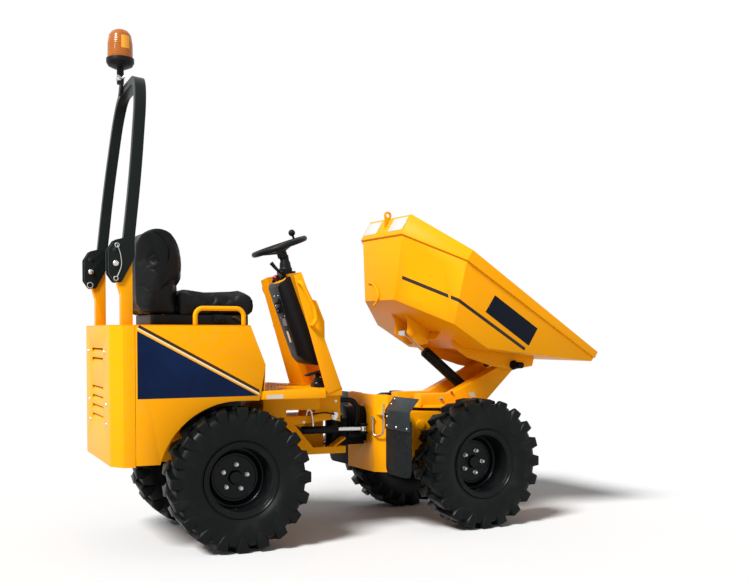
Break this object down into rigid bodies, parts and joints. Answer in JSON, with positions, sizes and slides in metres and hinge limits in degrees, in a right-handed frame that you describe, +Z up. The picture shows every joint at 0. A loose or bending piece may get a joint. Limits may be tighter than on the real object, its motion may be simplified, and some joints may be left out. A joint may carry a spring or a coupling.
{
  "type": "articulated site dumper with swivel skip",
  "caption": "Articulated site dumper: swivel front skip raised part way, open driver's seat, upright control console and folding roll bar with an amber beacon.",
  "frame": {"origin": "on the ground under the middle of the whole machine as it stands, skip part raised and front half steered slightly left", "axes": "+X forward along the rear half, towards the skip; +Y to the driver's left; +Z up"},
  "size_m": [2.6608, 1.0924, 2.5003],
  "materials": {
    "body_paint": "glossy yellow-orange enamel, dulled by use",
    "black_metal": "satin black paint",
    "grey_metal": "grey-blue paint",
    "hoop_paint": "dark green-grey paint",
    "rim_paint": "satin black rim paint",
    "tyre": "black tyre rubber",
    "rubber": "black rubber",
    "vinyl": "black seat vinyl",
    "plastic": "black moulded plastic",
    "steel": "bright ram rod",
    "iron": "engine and castings",
    "lens": "amber lens"
  },
  "bodies": {
    "rear_chassis": {"rear_frame": "body_paint", "engine_block": "iron", "rear_cowl": "body_paint", "seat_deck": "body_paint", "footplate": "body_paint", "console_shell": "body_paint", "control_box": "plastic", "console_rails": "body_paint", "seat_pan": "plastic", "seat_cushion": "vinyl", "seat_back": "vinyl", "seat_rails": "body_paint", "rops_posts": "hoop_paint", "steering_column": "plastic", "side_panel_left": "body_paint", "side_panel_right": "body_paint", "rear_axle": "black_metal"},
    "skip": {"skip_shell": "body_paint", "skip_rim": "body_paint", "skip_brackets": "body_paint", "tip_pins": "black_metal", "lifting_eye": "body_paint"},
    "front_chassis": {"front_frame": "body_paint", "pivot_block": "black_metal", "front_axle": "black_metal", "mudguards": "grey_metal", "mud_flaps": "rubber", "slew_ring": "black_metal"},
    "turntable": {"turntable": "body_paint"},
    "roll_bar": {"rops_hoop": "hoop_paint", "beacon_base": "plastic", "beacon_lens": "lens"},
    "steering_wheel": {"steering_wheel": "plastic"},
    "tip_ram_barrel": {"tip_ram_barrel": "black_metal"},
    "tip_ram_rod": {"tip_ram_rod": "steel"},
    "steer_ram_barrel": {"steer_ram_barrel": "black_metal"},
    "steer_ram_rod": {"steer_ram_rod": "steel"},
    "wheel_rear_left": {"tyre_rear_left": "tyre", "rim_rear_left": "rim_paint"},
    "wheel_rear_right": {"tyre_rear_right": "tyre", "rim_rear_right": "rim_paint"},
    "wheel_front_left": {"tyre_front_left": "tyre", "rim_front_left": "rim_paint"},
    "wheel_front_right": {"tyre_front_right": "tyre", "rim_front_right": "rim_paint"}
  },
  "joints": [
    {"name": "steer", "type": "hinge", "parent": "rear_chassis", "child": "front_chassis", "pos_m": [-0.10241, -0.04772, 0.5], "axis": [0, 0, 1], "range_deg": [-39.7, 30.3]},
    {"name": "skip_swivel", "type": "hinge", "parent": "front_chassis", "child": "turntable", "pos_m": [0.54241, 0.00529, 0.6183], "axis": [0, 0, 1], "range_deg": [-90, 90]},
    {"name": "skip_tip", "type": "hinge", "parent": "turntable", "child": "skip", "pos_m": [0.93907, 0.03791, 0.84], "axis": [-0.0819, 0.9966, 0], "range_deg": [-31, 39]},
    {"name": "tip_ram_foot", "type": "hinge", "parent": "turntable", "child": "tip_ram_barrel", "pos_m": [0.78758, 0.02545, 0.662], "axis": [-0.0819, 0.9966, 0], "range_deg": [-32, 40]},
    {"name": "tip_ram_stroke", "type": "slide", "parent": "tip_ram_barrel", "child": "tip_ram_rod", "axis": [-0.7821, -0.0643, 0.6198], "range_m": [-0.10409, 0.12993]},
    {"name": "steer_ram_foot", "type": "hinge", "parent": "rear_chassis", "child": "steer_ram_barrel", "pos_m": [-0.32741, -0.13972, 0.52], "axis": [0, 0, 1], "range_deg": [-15.43, 12.01]},
    {"name": "steer_ram_stroke", "type": "slide", "parent": "steer_ram_barrel", "child": "steer_ram_rod", "axis": [0.9954, -0.0963, 0], "range_m": [-0.0857, 0.06636]},
    {"name": "roll_bar_fold", "type": "hinge", "parent": "rear_chassis", "child": "roll_bar", "pos_m": [-1.29341, -0.04772, 1.329], "axis": [0, -1, 0], "range_deg": [0, 165]},
    {"name": "steering_wheel_spin", "type": "hinge", "parent": "rear_chassis", "child": "steering_wheel", "pos_m": [-0.40041, -0.04772, 1.464], "axis": [-0.342, 0, 0.9397], "continuous": true},
    {"name": "roll_rear_left", "type": "hinge", "parent": "rear_chassis", "child": "wheel_rear_left", "pos_m": [-0.74741, 0.35178, 0.338], "axis": [0, 1, 0], "continuous": true},
    {"name": "roll_rear_right", "type": "hinge", "parent": "rear_chassis", "child": "wheel_rear_right", "pos_m": [-0.74741, -0.44722, 0.338], "axis": [0, 1, 0], "continuous": true},
    {"name": "roll_front_left", "type": "hinge", "parent": "front_chassis", "child": "wheel_front_left", "pos_m": [0.50968, 0.40345, 0.338], "axis": [-0.0819, 0.9966, 0], "continuous": true},
    {"name": "roll_front_right", "type": "hinge", "parent": "front_chassis", "child": "wheel_front_right", "pos_m": [0.57515, -0.39286, 0.338], "axis": [-0.0819, 0.9966, 0], "continuous": true}
  ],
  "couplings": [
    {"joint": "tip_ram_foot", "follows": "skip_tip", "ratio": 1},
    {"joint": "tip_ram_stroke", "follows": "skip_tip", "m_per_rad": 0.185},
    {"joint": "steer_ram_foot", "follows": "steer", "ratio": 0.36351},
    {"joint": "steer_ram_stroke", "follows": "steer", "m_per_rad": 0.11791}
  ]
}
